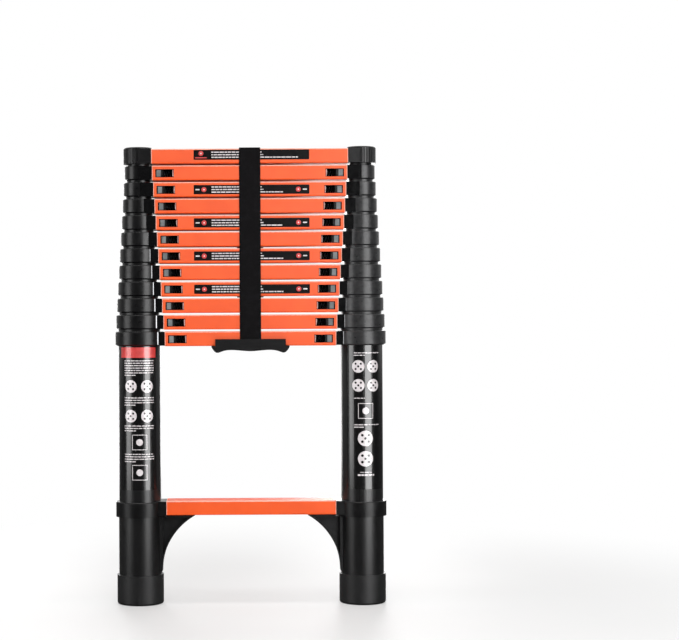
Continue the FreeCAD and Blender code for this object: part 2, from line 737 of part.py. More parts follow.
group("outer_tubes", [make_outer_tube(side) for side in SIDES.values()])
group("fixed_collars", [make_collar(FIXED_ROW, side) for side in SIDES.values()])
group("lower_collars", [make_lower_collar(side) for side in SIDES.values()])
group("leg_sleeves", [make_sleeve(side) for side in SIDES.values()])
group("rubber_feet", [make_foot(side) for side in SIDES.values()])


# ---- Arch gussets below the bottom rung ----


def make_gusset(side):
    """A curved gusset with a rim along its arch and a thinner web."""
    name = f"Gusset{side_name(side)}"
    tip_rise = "(bottom_rung_base - arch_tip - arch_centre_up)"
    near = "sleeve_radius - arch_root"
    far = f"stile_offset - arch_centre_out - sqrt(arch_radius ^ 2 - {tip_rise} ^ 2)"
    depths = ("-arch_half_depth", "arch_half_depth")
    top = "bottom_rung_base - arch_play"
    plate = arm_block(f"{name}Plate", side, (near, far), depths, ("arch_centre_up", top))
    centre = (f"{side} * arch_centre_out", "arch_centre_up")
    past = ("-arch_half_depth - 1", "arch_half_depth + 1")
    hollow = depth_rod(f"{name}Arch", "arch_radius", *past, centre)
    leg = rod(f"{name}Leg", "sleeve_radius", "foot_height", "lower_collar_base + 10", axis_of(side))
    collar_reach = ("0", "bottom_rung_inset + collar_play")
    collar_base = "lower_collar_base - collar_play"
    collar_depths = ("-sleeve_radius", "sleeve_radius")
    collar_heights = (collar_base, "bottom_rung_base + 5")
    collar = arm_block(f"{name}Collar", side, collar_reach, collar_depths, collar_heights)
    pan_reach = ("sleeve_radius + arch_rim", far)
    pan_heights = ("arch_centre_up - 1", f"{collar_base} - arch_rim")
    pans = []
    for label, pan_depths in (("Front", (past[0], "-arch_web")), ("Back", ("arch_web", past[1]))):
        pan = arm_block(f"{name}{label}Pan", side, pan_reach, pan_depths, pan_heights)
        rim_edge = depth_rod(f"{name}{label}RimEdge", "arch_radius + arch_rim", *past, centre)
        pans.append(cut(f"{name}{label}Recess", pan, [rim_edge]))
    return cut(name, plate, [hollow, leg, collar] + pans)


group("arch_gussets", [make_gusset(side) for side in SIDES.values()])


# ---- Carry handle and strap ----


def centred_block(name, half_width, depths, heights):
    """A box that is centred on the middle plane."""
    return block(name, (f"-({half_width})", depths[0], heights[0]), (half_width, depths[1], heights[1]))


def grip_underside():
    """The finger grip's underside: a lobe at each end, a waist beside it and a slight belly."""
    lobe, waist, end = SIZE["grip_lobe_out"], SIZE["grip_waist_out"], SIZE["grip_half_width"]
    top, base = SIZE["fixed_rung_base"], SIZE["grip_base"]
    half = [
        (end, top - SIZE["grip_edge"]),
        ((lobe + end) / 2, (base + top) / 2 - SIZE["grip_swell"]),
        (lobe, base),
        ((lobe + waist) / 2, (base + SIZE["grip_waist"]) / 2),
        (waist, SIZE["grip_waist"]),
    ]
    right = [FreeCAD.Vector(x, -SIZE["grip_front"], z) for x, z in half]
    left = [FreeCAD.Vector(-point.x, point.y, point.z) for point in reversed(right)]
    middle = FreeCAD.Vector(0, -SIZE["grip_front"], SIZE["grip_middle"])
    curve = Part.BSplineCurve()
    curve.interpolate(right + [middle] + left)
    return curve.toShape()


def make_grip():
    """The grip's block, from its wavy underside up to the rung."""
    underside = grip_underside()
    right, left = (vertex.Point for vertex in underside.Vertexes)
    top, draft = SIZE["fixed_rung_base"], SIZE["grip_draft"]
    corners = [
        FreeCAD.Vector(left.x + draft, left.y, top),
        FreeCAD.Vector(right.x - draft, right.y, top),
    ]
    sides = [Part.LineSegment(*ends).toShape() for ends in zip([left, *corners], [*corners, right])]
    face = Part.Face(Part.Wire([underside, *sides]))
    grip = doc.addObject("Part::Feature", "Grip")
    grip.Shape = face.extrude(FreeCAD.Vector(0, SIZE["grip_front"] + SIZE["grip_back"], 0))
    grip.Placement = FreeCAD.Placement()
    return grip


def make_handle():
    """The carry handle below the fixed rung, with two lips and a way for the webbing."""
    rung = "rung_depth / 2 + lip_clearance"
    front_depths, back_depths = ("-grip_front", f"-({rung})"), (rung, "grip_back")
    front = centred_block("HandleLip", "lip_half_width", front_depths, ("lip_root", "lip_top"))
    back = centred_block("HandleBackLip", "lip_half_width", back_depths, ("lip_root", "back_lip_top"))
    body = fuse("HandleBody", [make_grip(), front, back])
    room = "strap_width / 2 + strap_room"
    floor = "fixed_rung_base - strap_gap - strap_thickness - strap_room"
    front_face = "-(strap_front + strap_thickness + strap_room)"
    back_face = "strap_back + strap_thickness + strap_room"
    tunnel = centred_block("HandleTunnel", room, (front_face, back_face), (floor, "fixed_rung_base + 20"))
    holes = []
    for label, side in SIDES.items():
        centre = f"{side} * screw_offset"
        shoulder = "screw_head_base + screw_head_height"
        shank = rod(f"HandleShankHole{label}", "screw_radius", "grip_base", "fixed_rung_base + 1", centre)
        head = rod(f"HandleHeadHole{label}", "screw_head_radius", "grip_base - 1", shoulder, centre)
        holes.extend([shank, head])
    handle = cut("CarryHandle", body, [tunnel] + holes)
    handle.Label = "carry_handle"
    SUB_PARTS.append(handle)


def make_handle_screw(label, side):
    """A screw that goes up through the handle into the fixed rung."""
    centre = f"{side} * screw_offset"
    shoulder = "screw_head_base + screw_head_height"
    head = rod(f"HandleScrewHead{label}", "screw_head_radius", "screw_head_base", shoulder, centre)
    tip = "fixed_rung_base + rung_wall + screw_tip"
    shank = rod(f"HandleScrewShank{label}", "screw_radius", shoulder, tip, centre)
    floor = "screw_head_base + screw_head_height / 2"
    socket = rod(f"HandleScrewSocket{label}", "screw_radius / 2", "screw_head_base - 1", floor, centre)
    return cut(f"HandleScrew{label}", fuse(f"HandleScrewBody{label}", [head, shank]), [socket])


def make_strap():
    """The webbing loop round the collapsed rungs, open where the buckle joins its ends."""
    top = f"{above(TOP_ROW, 'rung_height')} + strap_gap"
    base = "fixed_rung_base - strap_gap"
    body = new_body("StrapLoop")
    outline = new_sketch(body, "StrapOutline", "YZ_Plane")
    low = ("-strap_front - strap_thickness", f"{base} - strap_thickness")
    rectangle(outline, low, ("strap_back + strap_thickness", f"{top} + strap_thickness"))
    feature(body, "Pad", "StrapPad", outline, "strap_width", both_ways=True)
    dress(body, "Fillet", "StrapFolds", runs_along_x, Radius="strap_thickness")
    inside = new_sketch(body, "StrapInside", "YZ_Plane")
    rectangle(inside, ("-strap_front", base), ("strap_back", top))
    pocket(body, "StrapRoom", inside, "strap_width * 2", both_ways=True)
    depths = ("strap_back - 5", "strap_back + strap_thickness + 5")
    heights = ("buckle_middle - buckle_plug_height / 2", "buckle_middle + buckle_cavity_height + 5")
    gap = centred_block("StrapGap", "strap_width", depths, heights)
    strap = cut("CarryStrap", body, [gap])
    strap.Label = "carry_strap"
    SUB_PARTS.append(strap)


WEBBING_WAY = ("strap_back - strap_room / 2", "strap_back + strap_thickness + strap_room / 2")


def fitting_depths(depth):
    """The faces of a fitting of a given depth that is centred on the webbing behind the rungs."""
    middle = "(strap_back + strap_thickness / 2)"
    return f"{middle} - {depth} / 2", f"{middle} + {depth} / 2"


def make_adjuster():
    """The adjuster that the webbing runs through."""
    heights = ("adjuster_middle - adjuster_half_height", "adjuster_middle + adjuster_half_height")
    frame = centred_block("AdjusterFrame", "buckle_half_width", fitting_depths("adjuster_depth"), heights)
    way_heights = (f"{heights[0]} - 1", f"{heights[1]} + 1")
    way = centred_block("AdjusterWay", "strap_width / 2 + strap_room", WEBBING_WAY, way_heights)
    windows = []
    for number, low in enumerate(("-(adjuster_bar + adjuster_slot)", "adjuster_bar")):
        opening = (f"adjuster_middle + {low}", f"adjuster_middle + {low} + adjuster_slot")
        depths = ("strap_back", "strap_back + strap_thickness + adjuster_depth")
        windows.append(centred_block(f"AdjusterWindow{number}", "strap_width / 2 - 1", depths, opening))
    adjuster = cut("StrapAdjuster", frame, [way] + windows)
    adjuster.Label = "strap_adjuster"
    SUB_PARTS.append(adjuster)


def make_buckle_plug():
    """The half of the side-release buckle with the prongs."""
    base = ("buckle_middle - buckle_plug_height", "buckle_middle - strap_room / 2")
    yoke_width = "buckle_half_width - buckle_step"
    yoke = centred_block("PlugYoke", yoke_width, fitting_depths("buckle_depth"), base)
    prongs = []
    for label, side in SIDES.items():
        depths = fitting_depths("prong_thickness")
        inner = "buckle_half_width - prong_margin - prong_width"
        low_x = "prong_margin - buckle_half_width" if side < 0 else inner
        low = (low_x, depths[0], "buckle_middle - prong_root")
        high = (f"{low_x} + prong_width", depths[1], "buckle_middle + prong_height")
        prongs.append(block(f"PlugProng{label}", low, high))
    guide_heights = ("buckle_middle - prong_root", "buckle_middle + prong_height")
    guide_depths = fitting_depths("prong_thickness")
    guide = centred_block("PlugGuide", "prong_width / 2", guide_depths, guide_heights)
    heights = (f"{base[0]} - 1", "buckle_middle - buckle_plug_height / 2 + 1")
    way = centred_block("PlugWay", "strap_width / 2 + strap_room", WEBBING_WAY, heights)
    plug = cut("BucklePlug", fuse("PlugBody", [yoke, guide] + prongs), [way])
    plug.Label = "buckle_plug"
    SUB_PARTS.append(plug)


def make_buckle_socket():
    """The half of the buckle that the prongs snap into, open at its sides for the finger tips."""
    heights = ("buckle_middle", "buckle_middle + buckle_socket_height")
    shell = centred_block("SocketShell", "buckle_half_width", fitting_depths("buckle_depth"), heights)
    room_depths = fitting_depths("(prong_thickness + prong_room)")
    cavity_top = "buckle_middle + buckle_cavity_height"
    cavity_heights = ("buckle_middle - 1", cavity_top)
    cavity_width = "buckle_half_width - buckle_wall"
    cavity = centred_block("SocketCavity", cavity_width, room_depths, cavity_heights)
    finger_heights = ("buckle_middle + finger_way_base", "buckle_middle + finger_way_top")
    finger = centred_block("SocketFingerWay", "buckle_half_width + 1", room_depths, finger_heights)
    way_heights = (f"{cavity_top} + buckle_bridge", f"{heights[1]} + 1")
    way = centred_block("SocketWay", "strap_width / 2 + strap_room", WEBBING_WAY, way_heights)
    socket = cut("BuckleSocket", shell, [cavity, finger, way])
    socket.Label = "buckle_socket"
    SUB_PARTS.append(socket)


make_handle()
group("handle_screws", [make_handle_screw(label, side) for label, side in SIDES.items()])
make_strap()
make_adjuster()
make_buckle_plug()
make_buckle_socket()
doc.recompute()


# ---- Checks and files ----


def faults():
    """What is wrong with the document, in words."""
    found = []
    for thing in doc.Objects:
        if {"Invalid", "Error"} & set(thing.State):
            found.append(f"{thing.Name}: {thing.State}")
    for part in SUB_PARTS:
        if part.Shape.isNull() or not part.Shape.isValid():
            found.append(f"{part.Label}: no valid shape")
    return found


problems = faults()
if problems:
    raise ValueError("; ".join(problems))
for part in SUB_PARTS:
    part.Shape.exportStep(f"parts/{part.Label}.step")
print(f"{len(SUB_PARTS)} sub-parts written")
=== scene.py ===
import math
import random

import bmesh
import bpy
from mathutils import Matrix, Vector


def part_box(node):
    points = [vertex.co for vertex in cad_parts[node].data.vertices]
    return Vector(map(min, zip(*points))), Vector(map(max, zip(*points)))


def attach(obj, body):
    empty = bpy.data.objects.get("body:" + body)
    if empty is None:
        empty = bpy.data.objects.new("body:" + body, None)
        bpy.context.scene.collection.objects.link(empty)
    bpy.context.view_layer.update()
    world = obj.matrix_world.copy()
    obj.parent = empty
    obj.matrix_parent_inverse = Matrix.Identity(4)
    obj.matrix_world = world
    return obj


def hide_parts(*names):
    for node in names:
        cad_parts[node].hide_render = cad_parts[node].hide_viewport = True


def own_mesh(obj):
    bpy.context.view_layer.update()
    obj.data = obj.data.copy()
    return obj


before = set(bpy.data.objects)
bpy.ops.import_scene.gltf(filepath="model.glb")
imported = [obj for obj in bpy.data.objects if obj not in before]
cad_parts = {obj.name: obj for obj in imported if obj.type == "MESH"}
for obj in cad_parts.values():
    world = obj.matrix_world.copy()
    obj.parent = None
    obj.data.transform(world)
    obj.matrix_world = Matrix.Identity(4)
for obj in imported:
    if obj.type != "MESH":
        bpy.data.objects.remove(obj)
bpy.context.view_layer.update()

# ---- Places, read from the frame, and the CAD's own wall and step sizes, all in metres ----

SIDES = {"left": -1, "right": 1}
LATCH_ROWS = range(2, 13)
LABEL_ROWS = (1, 3, 5, 7, 9)
FIXED_ROW = 12

TUBE_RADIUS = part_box("outer_tubes")[1].y
STILE_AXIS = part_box("outer_tubes")[1].x - TUBE_RADIUS
TUBE_STEP = 0.00183
COLLAR_WALL = 0.006
COLLAR_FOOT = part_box("fixed_collars")[0].z
RUNG_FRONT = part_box("rung_01")[0].y
CHANNEL_END = 0.047
PAD_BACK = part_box("latch_left_02")[0].y + 0.0022


def body_of_row(row):
    """The body that carries a row's rung, collars and labels."""
    return "frame" if row >= FIXED_ROW else f"section_{row:02}"


def rung_end(row, side):
    """Where a rung ends on one side, across the ladder."""
    low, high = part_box(f"rung_{row:02}")
    return low.x if SIDES[side] < 0 else high.x


# ---- Finishes ----


def tone(red, green, blue):
    """A colour given as a screen shows it, from 0 to 255, as the linear colour that a shader takes."""
    levels = [level / 255 for level in (red, green, blue)]
    linear = [level / 12.92 if level < 0.04045 else ((level + 0.055) / 1.055) ** 2.4 for level in levels]
    return (*linear, 1.0)


def grey(level):
    """A grey with a trace of blue."""
    return tone(level, level, level + 1)


class Finish:
    """A material whose detail is laid out in the ladder's own metres."""

    def __init__(self, name, **settings):
        self.material = bpy.data.materials.new(name)
        self.material.use_nodes = True
        self.nodes = self.material.node_tree.nodes
        self.links = self.material.node_tree.links
        self.shader = self.nodes["Principled BSDF"]
        self.normal = None
        self.place = self.add("TexCoord").outputs["Object"]
        for socket, value in settings.items():
            self.shader.inputs[socket.replace("_", " ")].default_value = value

    def feed(self, socket, value):
        if isinstance(value, bpy.types.NodeSocket):
            self.links.new(value, socket)
        else:
            socket.default_value = value

    def add(self, kind, settings=None, **inputs):
        node = self.nodes.new(f"ShaderNode{kind}")
        for name, value in (settings or {}).items():
            setattr(node, name, value)
        for name, value in inputs.items():
            self.feed(node.inputs[name.replace("_", " ")], value)
        return node

    def math(self, operation, *values):
        node = self.add("Math", {"operation": operation})
        for socket, value in zip(node.inputs, values):
            self.feed(socket, value)
        return node.outputs[0]

    def axes(self):
        split = self.add("SeparateXYZ", Vector=self.place)
        return split.outputs

    def noise(self, size, stretch=(1, 1, 1), detail=2.0):
        """A soft random pattern with spots of a size in metres, longer where stretch is above one."""
        scale = [1 / (size * longer) for longer in stretch]
        mapping = self.add("Mapping", Vector=self.place, Scale=scale)
        texture = self.add("TexNoise", Vector=mapping.outputs["Vector"], Scale=1.0, Detail=detail)
        return texture.outputs["Fac"]

    def spread(self, value, low, high, start=0.32, end=0.68):
        """Stretch a value that runs from start to end so that it runs from low to high."""
        node = self.add("MapRange", Value=value, From_Min=start, From_Max=end, To_Min=low, To_Max=high)
        return node.outputs["Result"]

    def mix(self, factor, first, second):
        node = self.add("Mix", {"data_type": "RGBA"})
        for socket, value in zip((node.inputs[0], node.inputs[6], node.inputs[7]), (factor, first, second)):
            self.feed(socket, value)
        return node.outputs[2]

    def blend(self, factor, first, second):
        node = self.add("Mix", {"data_type": "FLOAT"})
        for socket, value in zip((node.inputs[0], node.inputs[2], node.inputs[3]), (factor, first, second)):
            self.feed(socket, value)
        return node.outputs[0]

    def colour(self, value):
        self.feed(self.shader.inputs["Base Color"], value)

    def roughness(self, value):
        self.feed(self.shader.inputs["Roughness"], value)

    def present(self, socket):
        """What feeds a socket of the shader so far."""
        return self.shader.inputs[socket].links[0].from_socket

    def relief(self, height, depth):
        """Raise the surface by depth metres where height is one."""
        bump = self.add("Bump", Height=height, Distance=depth)
        if self.normal:
            self.feed(bump.inputs["Normal"], self.normal)
        self.normal = bump.outputs["Normal"]
        self.feed(self.shader.inputs["Normal"], self.normal)


THIN_COAT_AND_EDGE_HIGHLIGHT = tone(255, 208, 190)
SAWN_WEAR = 0.75
SAWN_START, SAWN_END = 0.0016, 0.0006
EDGE_HIGHLIGHT = 0.7
EDGE_START, EDGE_END = 0.0016, 0.0022
RAGGED = 0.0002


def rung_coat(row):
    """Orange powder coat with a fine orange peel, thin at the sawn ends, with a painted highlight along the
    upper edges.
    """
    finish = Finish(f"rung_coat_{row:02}", Coat_Weight=0.08, Coat_Roughness=0.3, Specular_IOR_Level=0.3)
    clouds = finish.noise(0.05)
    coat = finish.mix(finish.spread(clouds, 0, 1), tone(241, 83, 12), tone(249, 90, 17))
    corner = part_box(f"rung_{row:02}")[1]
    axes = finish.axes()
    ragged = finish.spread(finish.noise(0.003), -RAGGED, RAGGED)
    reach = finish.math("ADD", finish.math("ABSOLUTE", axes["X"]), ragged)
    sawn = finish.spread(reach, 0.0, SAWN_WEAR, corner.x - SAWN_START, corner.x - SAWN_END)
    below = finish.math("SUBTRACT", corner.z, axes["Z"])
    inside = finish.math("SUBTRACT", corner.y, finish.math("ABSOLUTE", axes["Y"]))
    from_edge = finish.math("ADD", finish.math("ADD", below, inside), ragged)
    # Along the upper front edges the pale coat tone is a painted highlight; at the sawn ends it is thin coat.
    wear_and_edge_highlight = finish.spread(from_edge, EDGE_HIGHLIGHT, 0.0, EDGE_START, EDGE_END)
    finish.colour(finish.mix(finish.math("MAXIMUM", sawn, wear_and_edge_highlight), coat, THIN_COAT_AND_EDGE_HIGHLIGHT))
    finish.roughness(finish.spread(finish.noise(0.012), 0.36, 0.46))
    finish.relief(finish.noise(0.0012), 0.00002)
    finish.relief(finish.noise(0.0004, (300, 1, 1)), 0.00001)
    return finish.material


def moulded(name, dark, light, smoothest, roughest, grain=0.0007, depth=0.00003, shine=0.27):
    """Moulded plastic or rubber: a fine spark-eroded grain, cloudy colour and rubbed places."""
    finish = Finish(name, Specular_IOR_Level=shine)
    clouds = finish.noise(0.02, detail=4.0)
    finish.colour(finish.mix(finish.spread(clouds, 0, 1), dark, light))
    finish.roughness(finish.spread(finish.noise(0.008, detail=3.0), smoothest, roughest))
    finish.relief(finish.noise(grain), depth)
    finish.relief(finish.noise(grain * 9), depth)
    return finish


ARM_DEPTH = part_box("stiles_02")[1].y
COLLAR_EDGE = COLLAR_WALL / 12
ARM_START = COLLAR_WALL + 0.0002
HOLLOW_START = ARM_DEPTH + 0.0001
BURNISHED = 0.1


def from_axis(finish):
    """How far a place is from the stile's axis."""
    axes = finish.axes()
    off_axis = finish.math("SUBTRACT", finish.math("ABSOLUTE", axes["X"]), STILE_AXIS)
    square = finish.math("ADD", finish.math("POWER", off_axis, 2.0), finish.math("POWER", axes["Y"], 2.0))
    return finish.math("SQRT", square)


def collar_mask(finish, reach, tube_radius):
    """One on the collar and zero on the tube."""
    return finish.math("GREATER_THAN", reach, tube_radius + COLLAR_EDGE)


def polish_arm(finish, reach, tube_radius):
    """The collar's band is grained; its arm is smoother, and the hollow between them is burnished.

    The bands on the right are painted greyer than those on the left: painted light from the right side.
    """
    grained = finish.present("Roughness")
    plain = finish.present("Base Color")
    # The greyer tone on the right-hand bands is painted light from the right side.
    painted_light_patches = finish.mix(finish.spread(finish.noise(0.006, detail=4.0), 0, 1), grey(34), grey(50))
    is_collar = collar_mask(finish, reach, tube_radius)
    is_right = finish.math("GREATER_THAN", finish.axes()["X"], 0.0)
    plain = finish.mix(finish.math("MULTIPLY", is_collar, is_right), plain, painted_light_patches)
    is_arm = finish.math("GREATER_THAN", reach, tube_radius + ARM_START)
    is_proud = finish.math("GREATER_THAN", finish.math("ABSOLUTE", finish.axes()["Y"]), HOLLOW_START)
    is_hollow = finish.math("MULTIPLY", is_arm, is_proud)
    smooth = finish.blend(is_hollow, finish.spread(finish.noise(0.01), 0.12, 0.2), BURNISHED)
    finish.roughness(finish.blend(is_arm, grained, smooth))
    banded = finish.mix(is_arm, plain, grey(12))
    finish.colour(finish.mix(is_hollow, banded, tone(104, 104, 106)))
    finish.feed(finish.shader.inputs["Metallic"], is_hollow)


def stile_finish(row):
    """Black coated tube with drawing lines, and the moulded collar that stands proud of it."""
    finish = moulded(f"stile_black_{row:02}", grey(10), grey(15), 0.27, 0.35)
    reach = from_axis(finish)
    tube_radius = TUBE_RADIUS - TUBE_STEP * (FIXED_ROW - row)
    polish_arm(finish, reach, tube_radius)
    is_collar = collar_mask(finish, reach, tube_radius)
    drawn = finish.noise(0.0005, (1, 1, 400))
    plastic = finish.present("Roughness")
    finish.roughness(finish.blend(is_collar, finish.spread(drawn, 0.24, 0.34), plastic))
    return finish.material


def fixed_collar():
    """The collars of the highest fixed rung, finished like those of the sliding sections."""
    finish = moulded("collar_plastic", grey(10), grey(15), 0.27, 0.35)
    polish_arm(finish, from_axis(finish), TUBE_RADIUS)
    return finish.material


def latch_plastic():
    """A grey ribbed thumb pad in front of a blackened slider and pin."""
    finish = moulded("latch_plastic", tone(112, 116, 118), tone(140, 144, 146), 0.3, 0.42, 0.0005)
    pad_grey = finish.present("Base Color")
    is_pad = finish.math("LESS_THAN", finish.axes()["Y"], PAD_BACK)
    blackened = finish.mix(finish.spread(finish.noise(0.004), 0, 1), grey(13), tone(22, 22, 24))
    finish.colour(finish.mix(is_pad, blackened, pad_grey))
    return finish.material


def film_tube():
    """The outer tubes: black coated aluminium with fine drawing lines."""
    finish = Finish("outer_tube_film", Specular_IOR_Level=0.5)
    clouds = finish.noise(0.04)
    finish.colour(finish.mix(finish.spread(clouds, 0, 1), grey(11), grey(16)))
    finish.roughness(finish.spread(finish.noise(0.0006, (1, 1, 300)), 0.26, 0.36))
    finish.relief(finish.noise(0.0005, (1, 1, 400)), 0.000006)
    return finish.material


def screw_steel():
    finish = Finish("screw_steel", Metallic=1.0)
    clouds = finish.noise(0.002)
    finish.colour(finish.mix(finish.spread(clouds, 0, 1), tone(120, 120, 122), grey(165)))
    finish.roughness(finish.spread(finish.noise(0.0006), 0.3, 0.5))
    finish.relief(finish.noise(0.0004), 0.00001)
    return finish.material


def spring_steel():
    """Blackened spring wire with rubbed, lighter coils."""
    finish = Finish("spring_steel", Metallic=0.9)
    wear_and_edge_highlight = finish.noise(0.0015, detail=3.0)
    finish.colour(finish.mix(finish.spread(wear_and_edge_highlight, 0, 1), tone(34, 34, 38), tone(92, 92, 98)))
    finish.roughness(finish.spread(wear_and_edge_highlight, 0.5, 0.3))
    finish.relief(finish.noise(0.0002, (1, 8, 8)), 0.000008)
    return finish.material


WEFT_PITCH = 0.0012
WARP_PITCH = 0.0019
WEFT_SHARE = 0.35


def webbing_weave():
    """Polyester webbing: lengthwise cords crossed by a finer weft, slightly dusty, with painted highlights on
    the raised threads.
    """
    finish = Finish("strap_webbing", Sheen_Weight=0.02, Sheen_Roughness=0.5, Specular_IOR_Level=0.06)
    axes = finish.axes()
    along = finish.math("MULTIPLY", finish.math("ADD", axes["Y"], axes["Z"]), 2 * math.pi / WEFT_PITCH)
    across = finish.math("MULTIPLY", axes["X"], 2 * math.pi / WARP_PITCH)
    cords = finish.math("ABSOLUTE", finish.math("SINE", across))
    slant = finish.math("SINE", finish.math("ADD", along, finish.math("MULTIPLY", across, 0.5)))
    weft = finish.math("ADD", finish.math("MULTIPLY", slant, WEFT_SHARE), 1 - WEFT_SHARE)
    weave = finish.math("MULTIPLY", cords, weft)
    dust = finish.noise(0.012, detail=5.0)
    # The lighter tone on the raised threads is a painted highlight.
    thread = finish.mix(weave, grey(5), tone(20, 18, 20))
    finish.colour(finish.mix(finish.spread(dust, 0.0, 0.22, 0.5, 0.8), thread, tone(38, 37, 40)))
    finish.roughness(finish.spread(weave, 0.95, 0.78, 0, 1))
    finish.relief(weave, 0.0003)
    finish.relief(finish.noise(0.0003), 0.00006)
    return finish.material


def printed_film(name, dark, light, smoothest, roughest, varnish=1.0, shine=0.5):
    """Printed film or ink: nearly even colour, slightly wavy where it was laid on."""
    finish = Finish(name, Coat_Weight=varnish, Coat_Roughness=0.16, Specular_IOR_Level=shine)
    clouds = finish.noise(0.006, detail=3.0)
    finish.colour(finish.mix(finish.spread(clouds, 0, 1), dark, light))
    finish.roughness(finish.spread(finish.noise(0.004), smoothest, roughest))
    finish.relief(finish.noise(0.006), 0.00002)
    return finish.material


def lip_highlight_coat():
    """Pale powder coat for the window's turned-in edge: a painted highlight where the edge catches the light.
    """
    finish = Finish("lip_highlight_coat", Coat_Weight=0.08, Coat_Roughness=0.3, Specular_IOR_Level=0.3)
    painted_light_patches = finish.noise(0.003, detail=4.0)
    # The pale tone of the lip is a painted highlight where its turned-in edge catches the light.
    finish.colour(finish.mix(finish.spread(painted_light_patches, 0, 1), tone(176, 128, 120), tone(228, 196, 192)))
    finish.roughness(finish.spread(painted_light_patches, 0.34, 0.48))
    finish.relief(finish.noise(0.0008), 0.00003)
    return finish.material


def thread_finish():
    finish = Finish("stitch_thread", Sheen_Weight=0.2)
    twist = finish.noise(0.0003, (1, 1, 3))
    finish.colour(finish.mix(finish.spread(twist, 0, 1), tone(30, 30, 32), tone(62, 62, 66)))
    finish.roughness(finish.spread(twist, 0.7, 0.9))
    finish.relief(twist, 0.00006)
    return finish.material


PLASTICS = {
    "top_caps": moulded("cap_plastic", grey(11), grey(16), 0.3, 0.4).material,
    "latch": latch_plastic(),
    "fixed_collars": fixed_collar(),
    "lower_collars": moulded("lower_collar_plastic", grey(10), grey(15), 0.28, 0.36).material,
    "leg_sleeves": moulded("sleeve_plastic", grey(10), grey(15), 0.3, 0.38, shine=0.45).material,
    "arch_gussets": moulded("gusset_plastic", grey(16), grey(22), 0.36, 0.48).material,
    "rubber_feet": moulded("foot_rubber", grey(14), grey(20), 0.4, 0.5, 0.0011, 0.00006, 0.42).material,
    "carry_handle": moulded("handle_plastic", grey(13), grey(19), 0.4, 0.5, 0.0009, 0.00005, 0.14).material,
    "strap_adjuster": moulded("buckle_plastic", grey(10), grey(15), 0.28, 0.4).material,
}
TUBE_BLACK = film_tube()
SCREW_STEEL = screw_steel()
SPRING_STEEL = spring_steel()
WEBBING = webbing_weave()
THREAD = thread_finish()
LIP_HIGHLIGHT_COAT = lip_highlight_coat()
LABEL_BLACK = printed_film("label_black", grey(7), grey(12), 0.3, 0.4, 0.05, 0.15)
INK_WHITE = printed_film("ink_white", tone(214, 206, 208), tone(230, 224, 226), 0.35, 0.45)
INK_RED = printed_film("ink_red", tone(206, 38, 36), tone(222, 52, 48), 0.35, 0.45)
FILM_BLACK = printed_film("film_black", grey(9), grey(13), 0.2, 0.26, 0.75, 0.3)


def finish_of(node):
    if node.startswith("rung"):
        return rung_coat(int(node[-2:]))
    if node.startswith("stiles"):
        return stile_finish(int(node[-2:]))
    if node.startswith("latch"):
        return PLASTICS["latch"]
    if node.startswith(("buckle", "strap")):
        return PLASTICS["strap_adjuster"]
    return {"outer_tubes": TUBE_BLACK, "handle_screws": SCREW_STEEL, "carry_strap": WEBBING, **PLASTICS}[node]


for node_name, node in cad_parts.items():
    node.material_slots[0].material = finish_of(node_name)


# ---- Pieces ----


def new_piece(name, shape, finishes, body, smooth=False):
    """Turn a bmesh into a piece that rides on a body."""
    mesh = bpy.data.meshes.new(name)
    bmesh.ops.recalc_face_normals(shape, faces=shape.faces)
    for face in shape.faces:
        face.smooth = smooth
    shape.to_mesh(mesh)
    shape.free()
    for finish in finishes:
        mesh.materials.append(finish)
    piece = bpy.data.objects.new(name, mesh)
    bpy.context.scene.collection.objects.link(piece)
    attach(piece, body)
    return piece


def sweep(shape, rings):
    """Join rings of points, each with as many points, into a tube, and cap its ends."""
    loops = [[shape.verts.new(point) for point in ring] for ring in rings]
    for first, second in zip(loops, loops[1:]):
        for here, there in zip(range(len(first)), [*range(1, len(first)), 0]):
            shape.faces.new((first[here], first[there], second[there], second[here]))
    shape.faces.new(loops[0])
    shape.faces.new(loops[-1])


# ---- The webbing strap ----

STRAP_LOW, STRAP_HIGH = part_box("carry_strap")
STRAP_THICKNESS = 0.0014
STRAP_FOLD = 0.0016
STRAP_INSERT = 0.005
SELVEDGE = 0.45
SELVEDGE_SLOPE = 8
RIPPLE_DEPTH = 0.00025
RIPPLE_WAVES = 5
RIPPLE_TURN = 30


def strap_line():
    """The middle of the webbing, from its end in the plug round the rungs to its end in the socket."""
    half = STRAP_THICKNESS / 2
    front, back = STRAP_LOW.y + half, STRAP_HIGH.y - half
    base, top = STRAP_LOW.z + half, STRAP_HIGH.z - half
    plug_end = (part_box("buckle_plug")[0].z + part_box("buckle_socket")[0].z) / 2
    socket_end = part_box("buckle_socket")[1].z - STRAP_INSERT
    line = [(back, plug_end)]
    line += straight((back, plug_end), (back, base + STRAP_FOLD))
    line += fold((back - STRAP_FOLD, base + STRAP_FOLD), 0)
    line += straight((back - STRAP_FOLD, base), (front + STRAP_FOLD, base))
    line += fold((front + STRAP_FOLD, base + STRAP_FOLD), 270)
    line += straight((front, base + STRAP_FOLD), (front, top - STRAP_FOLD))
    line += fold((front + STRAP_FOLD, top - STRAP_FOLD), 180)
    line += straight((front + STRAP_FOLD, top), (back - STRAP_FOLD, top))
    line += fold((back - STRAP_FOLD, top - STRAP_FOLD), 90)
    line += straight((back, top - STRAP_FOLD), (back, socket_end))
    return line


def straight(start, end, step=0.006):
    """Points from start to end, without start."""
    count = max(1, round(math.dist(start, end) / step))
    return [tuple(a + (b - a) * i / count for a, b in zip(start, end)) for i in range(1, count + 1)]


def fold(centre, angle, count=5):
    """A quarter turn, clockwise in the plane of depth and height, from an angle in degrees."""
    turns = [math.radians(angle - 90 * i / count) for i in range(1, count + 1)]
    return [(centre[0] + STRAP_FOLD * math.cos(t), centre[1] + STRAP_FOLD * math.sin(t)) for t in turns]


